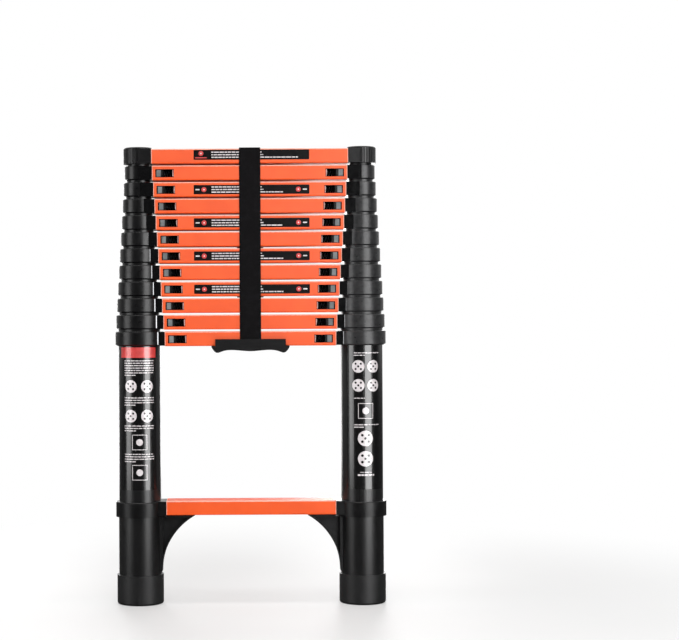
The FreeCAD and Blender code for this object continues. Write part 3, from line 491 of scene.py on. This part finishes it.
def ribbon(shape, line, half_width, thickness, ripple):
    """A woven band along a line in the plane of depth and height, thinner at its selvedges."""
    across = [half_width * math.sin(math.radians(a)) for a in range(-90, 91, 12)]
    rings = []
    for index, (depth, height) in enumerate(line):
        before, after = line[max(index - 1, 0)], line[min(index + 1, len(line) - 1)]
        along = Vector((0, after[0] - before[0], after[1] - before[1])).normalized()
        outward = Vector((0, along.z, -along.y))
        middle = Vector((0, depth, height)) + outward * ripple(depth, height)
        ring = []
        for side in (1, -1):
            for x in across if side == 1 else reversed(across):
                edge = min(1, SELVEDGE + SELVEDGE_SLOPE * (1 - abs(x) / half_width))
                ring.append(middle + Vector((x, 0, 0)) + outward * (side * edge * thickness / 2))
        rings.append(ring)
    sweep(shape, rings)


def strap_ripple(depth, height):
    """Slight slackness of the long front and back runs, none where the strap folds."""
    share = (height - STRAP_LOW.z) / (STRAP_HIGH.z - STRAP_LOW.z)
    calm = max(0.0, math.sin(math.pi * share))
    return RIPPLE_DEPTH * calm * math.sin(RIPPLE_WAVES * math.pi * share + depth * RIPPLE_TURN)


def crumple(piece):
    """The strap and its fittings can't follow the ladder; this only gives a piece its own copy of its mesh.
    """
    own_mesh(piece)


def make_webbing():
    shape = bmesh.new()
    ribbon(shape, strap_line(), STRAP_HIGH.x, STRAP_THICKNESS, strap_ripple)
    strap = new_piece("carry_strap_webbing", shape, [WEBBING], "frame", smooth=True)
    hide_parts("carry_strap")
    crumple(strap)


LAP_LENGTH = 0.030
LAP_GAP = 0.004
LAP_INSET = 0.0004
LAP_SQUEEZE = 0.96
STITCH_LENGTH = 0.0026
STITCH_GAP = 0.0010
STITCH_RADIUS = 0.0003
STITCH_STEPS = 5
STITCH_CORNERS = 6
STITCH_ARCH, STITCH_SINK = 1.2, 0.6
SEAM_INSET = 0.004


def make_lap(name, low, high):
    """The doubled end of the webbing, sewn down with a box and a cross."""
    face = STRAP_HIGH.y
    shape = bmesh.new()
    line = straight((face + STRAP_THICKNESS / 2, low), (face + STRAP_THICKNESS / 2, high))
    ribbon(shape, line, STRAP_HIGH.x - LAP_INSET, STRAP_THICKNESS * LAP_SQUEEZE, lambda depth, height: 0)
    lap = new_piece(f"{name}_lap", shape, [WEBBING], "frame", smooth=True)
    crumple(lap)
    seam = bmesh.new()
    left, right = STRAP_LOW.x + SEAM_INSET, STRAP_HIGH.x - SEAM_INSET
    base, top = low + SEAM_INSET, high - SEAM_INSET
    corners = [(left, base), (right, base), (right, top), (left, top)]
    box = zip(corners, corners[1:] + corners[:1])
    for start, end in [*box, (corners[0], corners[2]), (corners[1], corners[3])]:
        stitches(seam, start, end, face + STRAP_THICKNESS)
    thread = new_piece(f"{name}_stitching", seam, [THREAD], "frame", smooth=True)
    crumple(thread)


def stitches(shape, start, end, face):
    """A row of short threads that dip into the webbing at both ends."""
    length = math.dist(start, end)
    count = int(length // (STITCH_LENGTH + STITCH_GAP))
    way = Vector((end[0] - start[0], 0, end[1] - start[1])).normalized()
    sideways = Vector((way.z, 0, -way.x))
    for number in range(count):
        begin = Vector((start[0], face, start[1])) + way * (number * (STITCH_LENGTH + STITCH_GAP))
        rings = []
        for step in range(STITCH_STEPS + 1):
            share = step / STITCH_STEPS
            middle = begin + way * (share * STITCH_LENGTH)
            middle.y += STITCH_RADIUS * (STITCH_ARCH * math.sin(math.pi * share) - STITCH_SINK)
            rings.append([middle + around(sideways, corner) for corner in range(STITCH_CORNERS)])
        sweep(shape, rings)


def around(sideways, corner):
    """A corner of a thread's cross section."""
    angle = 2 * math.pi * corner / STITCH_CORNERS
    return sideways * (STITCH_RADIUS * math.cos(angle)) + Vector((0, STITCH_RADIUS * math.sin(angle), 0))


WELD_DISTANCE = 0.00001
SHARP_ANGLE = math.radians(40)
EASED_EDGE = 0.0004


def make_fitting(node_name):
    """A fitting on the strap: the frame's own shape with eased edges."""
    shape = bmesh.new()
    shape.from_mesh(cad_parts[node_name].data)
    bmesh.ops.remove_doubles(shape, verts=shape.verts, dist=WELD_DISTANCE)
    sharp = [edge for edge in shape.edges if edge.calc_face_angle(0) > SHARP_ANGLE]
    bmesh.ops.bevel(shape, geom=sharp, offset=EASED_EDGE, segments=2, affect="EDGES", clamp_overlap=True)
    plastic = PLASTICS["strap_adjuster"]
    fitting = new_piece(f"{node_name}_moulded", shape, [plastic], "frame")
    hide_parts(node_name)
    crumple(fitting)


make_webbing()
BELOW_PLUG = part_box("buckle_plug")[0].z - LAP_GAP
ABOVE_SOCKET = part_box("buckle_socket")[1].z + LAP_GAP
make_lap("plug_end", BELOW_PLUG - LAP_LENGTH, BELOW_PLUG)
make_lap("socket_end", ABOVE_SOCKET, ABOVE_SOCKET + LAP_LENGTH)
for fitting_name in ("strap_adjuster", "buckle_plug", "buckle_socket"):
    make_fitting(fitting_name)

# ---- Springs behind the latch sliders ----

SPRING_RADIUS = 0.0042
SPRING_WIRE = 0.00045
SPRING_DEPTH = -0.006
SPRING_TURNS = 8
SPRING_STEPS = 16
SPRING_CORNERS = 6
SPRING_EVENNESS = 0.35


def make_spring(row, side):
    """A coil spring between a slider and the end of its channel."""
    name = f"latch_{side}_{row:02}"
    way = SIDES[side]
    low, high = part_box(name)
    slider_end = high.x if way < 0 else low.x
    channel_end = rung_end(row, side) - way * CHANNEL_END
    middle = (low.z + high.z) / 2
    length = abs(channel_end - slider_end)
    shape = bmesh.new()
    rings = []
    steps = SPRING_TURNS * SPRING_STEPS
    for step in range(steps + 1):
        share = step / steps
        turn = 2 * math.pi * SPRING_TURNS * share
        closing = share - math.sin(2 * math.pi * share) / (2 * math.pi)
        pitch = SPRING_EVENNESS * share + (1 - SPRING_EVENNESS) * closing
        along = SPRING_WIRE + (length - 2 * SPRING_WIRE) * pitch
        radial = Vector((0, math.cos(turn), math.sin(turn)))
        centre = Vector((slider_end - way * along, SPRING_DEPTH, middle)) + radial * SPRING_RADIUS
        rings.append([centre + wire_point(radial, corner) for corner in range(SPRING_CORNERS)])
    sweep(shape, rings)
    body = body_of_row(row)
    spring = new_piece(f"{name}_spring", shape, [SPRING_STEEL], body, smooth=True)
    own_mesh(spring)


def wire_point(radial, corner):
    """A corner of the spring wire's cross section."""
    angle = 2 * math.pi * corner / SPRING_CORNERS
    return radial * (SPRING_WIRE * math.cos(angle)) + Vector((SPRING_WIRE * math.sin(angle), 0, 0))


for latch_row in LATCH_ROWS:
    for latch_side in SIDES:
        make_spring(latch_row, latch_side)

# ---- Lips at the inner ends of the latch windows ----

WINDOW_END = 0.039
LIP_WIDTH = 0.0016
LIP_GAP = 0.0008
LIP_HALF_HEIGHT = 0.0062
LIP_DEPTH = 0.0012
LIP_HALF_THICKNESS = 0.0008
LIP_STEPS = 8
LIP_CORNERS = 12
LIP_TAPER = 0.9


def make_lip(row, side):
    """The turned-in edge of a window: a slim rounded upright just behind the rung's face."""
    name = f"latch_{side}_{row:02}"
    way = SIDES[side]
    low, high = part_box(name)
    window_end = rung_end(row, side) - way * (WINDOW_END - LIP_GAP)
    across = window_end + way * LIP_WIDTH / 2
    middle = (low.z + high.z) / 2
    shape = bmesh.new()
    rings = []
    for step in range(-LIP_STEPS, LIP_STEPS + 1):
        share = step / LIP_STEPS
        half = LIP_WIDTH / 2 * math.sqrt(1 - LIP_TAPER * share ** 6)
        centre = Vector((across, RUNG_FRONT + LIP_DEPTH, middle + LIP_HALF_HEIGHT * share))
        rings.append([centre + lip_point(half, corner) for corner in range(LIP_CORNERS)])
    sweep(shape, rings)
    new_piece(f"{name}_lip", shape, [LIP_HIGHLIGHT_COAT], body_of_row(row), smooth=True)


def lip_point(half, corner):
    """A corner of a lip's cross section, reaching half metres to each side."""
    angle = 2 * math.pi * corner / LIP_CORNERS
    return Vector((half * math.cos(angle), LIP_HALF_THICKNESS * math.sin(angle), 0))


for latch_row in LATCH_ROWS:
    for latch_side in SIDES:
        make_lip(latch_row, latch_side)

# ---- Printed labels: plain bars, discs and frames, with no lettering ----

FILM_THICKNESS = 0.00012
INK_THICKNESS = 0.00004
BLACK, WHITE, RED = 0, 1, 2
COLUMN_WIDTH = 0.003
DISC_STEPS = 20
DISC_TIP = 0.02


def bar(width, height, corner=0.0):
    """Columns across a rectangle with rounded corners, as pairs of offset and half height."""
    count = max(1, math.ceil(width / COLUMN_WIDTH))
    offsets = [width * (i / count - 0.5) for i in range(count + 1)]
    if corner:
        turns = [math.sin(math.radians(angle)) for angle in (0, 30, 60)]
        offsets += [side * (width / 2 - corner * (1 - turn)) for side in (-1, 1) for turn in turns]
    columns = []
    for offset in sorted(set(offsets)):
        inside = max(0.0, corner - (width / 2 - abs(offset)))
        rounding = corner - math.sqrt(max(0.0, corner ** 2 - inside ** 2))
        columns.append((offset, height / 2 - rounding))
    return columns


def disc(radius):
    """Columns across a disc, as pairs of offset and half height."""
    angles = [math.pi * i / DISC_STEPS for i in range(DISC_STEPS + 1)]
    return [(-radius * math.cos(angle), radius * max(math.sin(angle), DISC_TIP)) for angle in angles]


def inlay(shape, place, centre, columns, layer, ink):
    """A thin flat shape on a surface: place turns width, height and proudness into a point."""
    base, top = layer
    rows = []
    for offset, half in columns:
        across = centre[0] + offset
        corners = ((-half, base), (half, base), (half, top), (-half, top))
        rows.append([shape.verts.new(place(across, centre[1] + up, proud)) for up, proud in corners])
    faces = [shape.faces.new(rows[0]), shape.faces.new(rows[-1])]
    for first, second in zip(rows, rows[1:]):
        for here, there in ((0, 1), (1, 2), (2, 3), (3, 0)):
            faces.append(shape.faces.new((first[here], first[there], second[there], second[here])))
    for face in faces:
        face.material_index = ink


FILM_LAYER = (0.0, FILM_THICKNESS)
INK_LAYER = (FILM_THICKNESS, FILM_THICKNESS + INK_THICKNESS)
TOP_LAYER = (FILM_THICKNESS + INK_THICKNESS, FILM_THICKNESS + 2 * INK_THICKNESS)

DASH_MIN, DASH_MAX = 0.003, 0.0095
DASH_GAP = 0.0011
DASH_LEFT_OUT = 0.001


def dashes(shape, place, left, right, height, thickness, chance):
    """A line of short bars of uneven length, which reads as small print from afar and says nothing."""
    across = left
    while across < right:
        length = min(chance.uniform(DASH_MIN, DASH_MAX), right - across)
        if length > DASH_LEFT_OUT:
            inlay(shape, place, (across + length / 2, height), bar(length, thickness), INK_LAYER, WHITE)
        across += length + DASH_GAP


LABEL_WIDTH = 0.2065
LABEL_HEIGHT = 0.0165
LABEL_SHIFT = 0.0032
LABEL_MIDDLE = 0.0124
TOP_LABEL_HEIGHT = 0.0178
TOP_LABEL_MIDDLE = 0.0152
LINE_START = -0.0715
LINE_PITCH = 0.0046
LINE_THICKNESS = 0.0019
SPOT_RADIUS, SPOT_EYE = 0.0044, 0.0012
TOP_SPOT = (-0.090, 0.0025)
TOP_BAR = (-0.090, -0.0052)
SIDE_SPOTS = ((-1, -0.0850), (1, 0.0836))
SIDE_BAR_SHIFT = 0.0115
LABEL_CORNER = 0.0012


def make_rung_label(row):
    """A black strip on a rung's front with three lines of dashes and a red spot at each end.

    The top one has a single spot, with a red bar below it.
    """
    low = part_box(f"rung_{row:02}")[0]
    top_row = row == LABEL_ROWS[0]
    middle = low.z + (TOP_LABEL_MIDDLE if top_row else LABEL_MIDDLE)
    height = TOP_LABEL_HEIGHT if top_row else LABEL_HEIGHT
    shape = bmesh.new()

    def place(across, up, proud):
        return (LABEL_SHIFT + across, RUNG_FRONT - proud, middle + up)

    chance = random.Random(row)
    inlay(shape, place, (0, 0), bar(LABEL_WIDTH, height, LABEL_CORNER), FILM_LAYER, BLACK)
    line_ends = (0.018, 0.021, 0.083 if top_row else 0.056)
    for number, end in enumerate(line_ends):
        dashes(shape, place, LINE_START, end, LINE_PITCH * (1 - number), LINE_THICKNESS, chance)
    if top_row:
        red_spot(shape, place, TOP_SPOT)
        inlay(shape, place, TOP_BAR, bar(0.021, 0.0018, 0.0008), INK_LAYER, RED)
    else:
        for side, spot in SIDE_SPOTS:
            red_spot(shape, place, (spot, 0.0))
            beside = (spot + side * SIDE_BAR_SHIFT, 0.0)
            inlay(shape, place, beside, bar(0.0075, 0.0022, 0.0010), INK_LAYER, WHITE)
    finishes = [LABEL_BLACK, INK_WHITE, INK_RED]
    new_piece(f"rung_label_{row:02}", shape, finishes, body_of_row(row))


def red_spot(shape, place, centre):
    """A red disc with a white eye."""
    inlay(shape, place, centre, disc(SPOT_RADIUS), INK_LAYER, RED)
    inlay(shape, place, centre, disc(SPOT_EYE), TOP_LAYER, WHITE)


for label_row in LABEL_ROWS:
    make_rung_label(label_row)

FILM_TOP = COLLAR_FOOT - 0.0006
FILM_HEIGHT = 0.2560
FILM_WIDTH = 0.0740
FILM_CORNER = 0.002
HEADING_DOWN, HEADING_HEIGHT = 0.0110, 0.0185
PRINT_PITCH = 0.0043
PRINT_THICKNESS = 0.0016
LAST_LINE = 0.4


def wrap(side, middle):
    """Bend a flat layout round the outer tube: middle is the layout's middle along the tube's front."""

    def place(across, down, proud):
        angle = (middle + across) / TUBE_RADIUS
        radius = TUBE_RADIUS + proud
        x = SIDES[side] * STILE_AXIS + radius * math.sin(angle)
        return (x, -radius * math.cos(angle), FILM_TOP - down)

    return place


def paragraph(shape, place, left, right, down, lines, chance):
    """Lines of dashes, the last one shorter."""
    for number in range(lines):
        end = right if number < lines - 1 else left + (right - left) * LAST_LINE
        dashes(shape, place, left, end, down + number * PRINT_PITCH, PRINT_THICKNESS, chance)


DOT_PLACES = ((0, 0), (0.42, 0.42), (0.42, -0.42), (-0.42, 0.42), (-0.42, -0.42))
DOT_SHARE = 0.17


def plain_sign(shape, place, across, down, radius):
    """A pale disc with five small dark dots, like the holes of a button."""
    inlay(shape, place, (across, down), disc(radius), INK_LAYER, WHITE)
    for right, up in DOT_PLACES:
        dot = (across + radius * right, down + radius * up)
        inlay(shape, place, dot, disc(radius * DOT_SHARE), TOP_LAYER, BLACK)


FRAME_LINE = 0.0010
FRAME_DISC = 0.22


def plain_frame(shape, place, across, down, size):
    """A thin white square frame round a plain disc."""
    for side in (-1, 1):
        upright = (across + side * (size - FRAME_LINE) / 2, down)
        level = (across, down + side * (size - FRAME_LINE) / 2)
        inlay(shape, place, upright, bar(FRAME_LINE, size), INK_LAYER, WHITE)
        inlay(shape, place, level, bar(size - 2 * FRAME_LINE, FRAME_LINE), INK_LAYER, WHITE)
    inlay(shape, place, (across, down), disc(size * FRAME_DISC), INK_LAYER, WHITE)


def make_left_film():
    """A red heading, four blocks of dashes, four discs and two frames."""
    place = wrap("left", -0.0013)
    chance = random.Random(21)
    shape = bmesh.new()
    inlay(shape, place, (0, FILM_HEIGHT / 2), bar(FILM_WIDTH, FILM_HEIGHT, FILM_CORNER), FILM_LAYER, BLACK)
    heading = bar(FILM_WIDTH - 0.003, HEADING_HEIGHT, 0.0006)
    inlay(shape, place, (0, HEADING_DOWN), heading, INK_LAYER, RED)
    left, right = -0.0262, 0.0306
    paragraph(shape, place, left, right, 0.0255, 7, chance)
    paragraph(shape, place, left, right, 0.0915, 4, chance)
    paragraph(shape, place, left, right, 0.1415, 3, chance)
    paragraph(shape, place, left, right, 0.1920, 4, chance)
    for down in (0.0711, 0.1240):
        for across in (-0.0132, 0.0172):
            plain_sign(shape, place, across, down, 0.0113)
    for down in (0.1707, 0.2245):
        plain_frame(shape, place, 0.0030, down, 0.0272)
    finishes = [FILM_BLACK, INK_WHITE, INK_RED]
    new_piece("stile_film_left", shape, finishes, "frame")


def make_right_film():
    """Five blocks of dashes, six discs and a frame."""
    place = wrap("right", 0.0050)
    chance = random.Random(34)
    shape = bmesh.new()
    inlay(shape, place, (0, FILM_HEIGHT / 2), bar(FILM_WIDTH, FILM_HEIGHT, FILM_CORNER), FILM_LAYER, BLACK)
    left, right = -0.0215, 0.0270
    paragraph(shape, place, left, right, 0.0133, 2, chance)
    paragraph(shape, place, left, right, 0.0940, 1, chance)
    paragraph(shape, place, left, right, 0.1412, 2, chance)
    for down in (0.0374, 0.0711):
        for across in (-0.0135, 0.0142):
            plain_sign(shape, place, across, down, 0.0112)
    plain_frame(shape, place, -0.0003, 0.1166, 0.0275)
    for down in (0.1655, 0.2018):
        plain_sign(shape, place, -0.0010, down, 0.0138)
    dashes(shape, place, -0.0105, 0.0105, 0.2258, 0.0012, chance)
    dashes(shape, place, -0.0150, 0.0150, 0.2306, 0.0030, chance)
    finishes = [FILM_BLACK, INK_WHITE]
    new_piece("stile_film_right", shape, finishes, "frame")


make_left_film()
make_right_film()

# ---- Camera, light and floor ----

PICTURE_WIDTH = 679
CAMERA_DISTANCE = 3.06
CAMERA_HEIGHT = 0.508
SENSOR = 0.036
METRES_PER_PIXEL = 0.0018
LADDER_OFFSET = 89.1
CAMERA_ROLL = 0.0050


def make_camera():
    data = bpy.data.cameras.new("camera")
    data.sensor_width = SENSOR * 1000
    data.lens = data.sensor_width * CAMERA_DISTANCE / (PICTURE_WIDTH * METRES_PER_PIXEL)
    data.shift_x = LADDER_OFFSET / PICTURE_WIDTH
    camera = bpy.data.objects.new("camera", data)
    camera.location = (0, -CAMERA_DISTANCE, CAMERA_HEIGHT)
    camera.rotation_euler = (math.pi / 2, CAMERA_ROLL, 0)
    bpy.context.scene.collection.objects.link(camera)
    bpy.context.scene.camera = camera


LIGHT_AIM = 0.42
HIGH_AIM = 2.6


def make_softbox(name, azimuth, distance, height, size, power, mirrored=True, spread=True, aim=LIGHT_AIM):
    """An area light round the ladder: azimuth 0 is at the camera, and positive ones are to its right.

    A light that isn't mirrored gives shape without a highlight; one without spread only gives highlights.
    """
    data = bpy.data.lights.new(name, "AREA")
    data.shape = "RECTANGLE"
    data.size, data.size_y = size
    data.energy = power
    light = bpy.data.objects.new(name, data)
    angle = math.radians(azimuth)
    light.location = (distance * math.sin(angle), -distance * math.cos(angle), height)
    toward = Vector((0, 0, aim)) - light.location
    light.rotation_euler = toward.to_track_quat("-Z", "Y").to_euler()
    light.visible_glossy = mirrored
    light.visible_diffuse = spread
    bpy.context.scene.collection.objects.link(light)


FRONT_LIGHT = 0.03
BACK_LIGHT = 0.90


def make_world():
    """White where the camera looks past the ladder; a bright wall behind it and a dark room in front."""
    world = bpy.data.worlds.new("studio")
    world.use_nodes = True
    nodes, links = world.node_tree.nodes, world.node_tree.links
    background = nodes["Background"]
    split = nodes.new("ShaderNodeSeparateXYZ")
    links.new(nodes.new("ShaderNodeTexCoord").outputs["Generated"], split.inputs[0])
    wall = nodes.new("ShaderNodeMapRange")
    wall.interpolation_type = "SMOOTHSTEP"
    limits = {"From Min": -0.1, "From Max": 0.4, "To Min": FRONT_LIGHT, "To Max": BACK_LIGHT}
    for socket, value in limits.items():
        wall.inputs[socket].default_value = value
    links.new(split.outputs["Y"], wall.inputs["Value"])
    strength = nodes.new("ShaderNodeMix")
    links.new(nodes.new("ShaderNodeLightPath").outputs["Is Camera Ray"], strength.inputs[0])
    links.new(wall.outputs["Result"], strength.inputs[2])
    strength.inputs[3].default_value = 1.0
    links.new(strength.outputs[0], background.inputs["Strength"])
    background.inputs["Color"].default_value = (1, 1, 1, 1)
    bpy.context.scene.world = world


FLOOR_CLEAR = 0.25
FLOOR_WHITE = 1.3
FLOOR_SHARE = 0.35
FLOOR_HIDDEN = 0.9


def make_floor():
    """A pale studio floor that turns to the white of the background away from the ladder.

    It is mostly left out of reflections, which would otherwise be too bright low down.
    """
    shape = bmesh.new()
    bmesh.ops.create_circle(shape, cap_ends=True, radius=30, segments=96)
    mesh = bpy.data.meshes.new("floor")
    shape.to_mesh(mesh)
    shape.free()
    floor = bpy.data.objects.new("floor", mesh)
    bpy.context.scene.collection.objects.link(floor)
    finish = Finish("floor_paint")
    shade = finish.spread(finish.noise(0.4), 0, 1)
    finish.colour(finish.mix(shade, tone(212, 211, 210), tone(216, 215, 214)))
    finish.roughness(0.6)
    axes = finish.axes()
    square = finish.math("ADD", finish.math("POWER", axes["X"], 2.0), finish.math("POWER", axes["Y"], 2.0))
    reach = finish.math("SQRT", square)
    far = finish.add(
        "MapRange",
        {"interpolation_type": "SMOOTHSTEP"},
        Value=reach,
        From_Min=FLOOR_CLEAR,
        From_Max=FLOOR_WHITE,
        To_Min=FLOOR_SHARE,
        To_Max=1.0,
    )
    path = finish.add("LightPath").outputs
    seen = finish.math("MULTIPLY", far.outputs["Result"], path["Is Camera Ray"])
    paint = finish.add("MixShader", Fac=seen)
    finish.links.new(finish.shader.outputs[0], paint.inputs[1])
    finish.links.new(finish.add("Emission", Strength=1.0).outputs[0], paint.inputs[2])
    mirrored = finish.add("MixShader", Fac=finish.math("MULTIPLY", path["Is Glossy Ray"], FLOOR_HIDDEN))
    finish.links.new(paint.outputs[0], mirrored.inputs[1])
    finish.links.new(finish.add("Emission", Strength=0.0).outputs[0], mirrored.inputs[2])
    finish.links.new(mirrored.outputs[0], finish.nodes["Material Output"].inputs["Surface"])
    mesh.materials.append(finish.material)


make_camera()
make_world()
make_floor()
make_softbox("key_strip", 39, 1.25, 0.6, (0.75, 2.0), 42, spread=False)
make_softbox("left_strip", -62, 2.4, 0.75, (1.2, 2.0), 38, spread=False)
make_softbox("fill", 0, 1.9, 1.0, (2.2, 1.2), 30, mirrored=False)
make_softbox("high_fill", 0, 2.6, 3.6, (1.5, 1.5), 20, mirrored=False, aim=HIGH_AIM)
make_softbox("top_strip", 0, 0.7, 5.5, (6.0, 0.9), 115)
make_softbox("back_strip_right", 170, 2.4, 0.75, (0.5, 2.0), 22, spread=False)
make_softbox("back_strip_left", -162, 2.4, 0.75, (0.5, 2.0), 22, spread=False)
bpy.context.scene.view_settings.view_transform = "Standard"
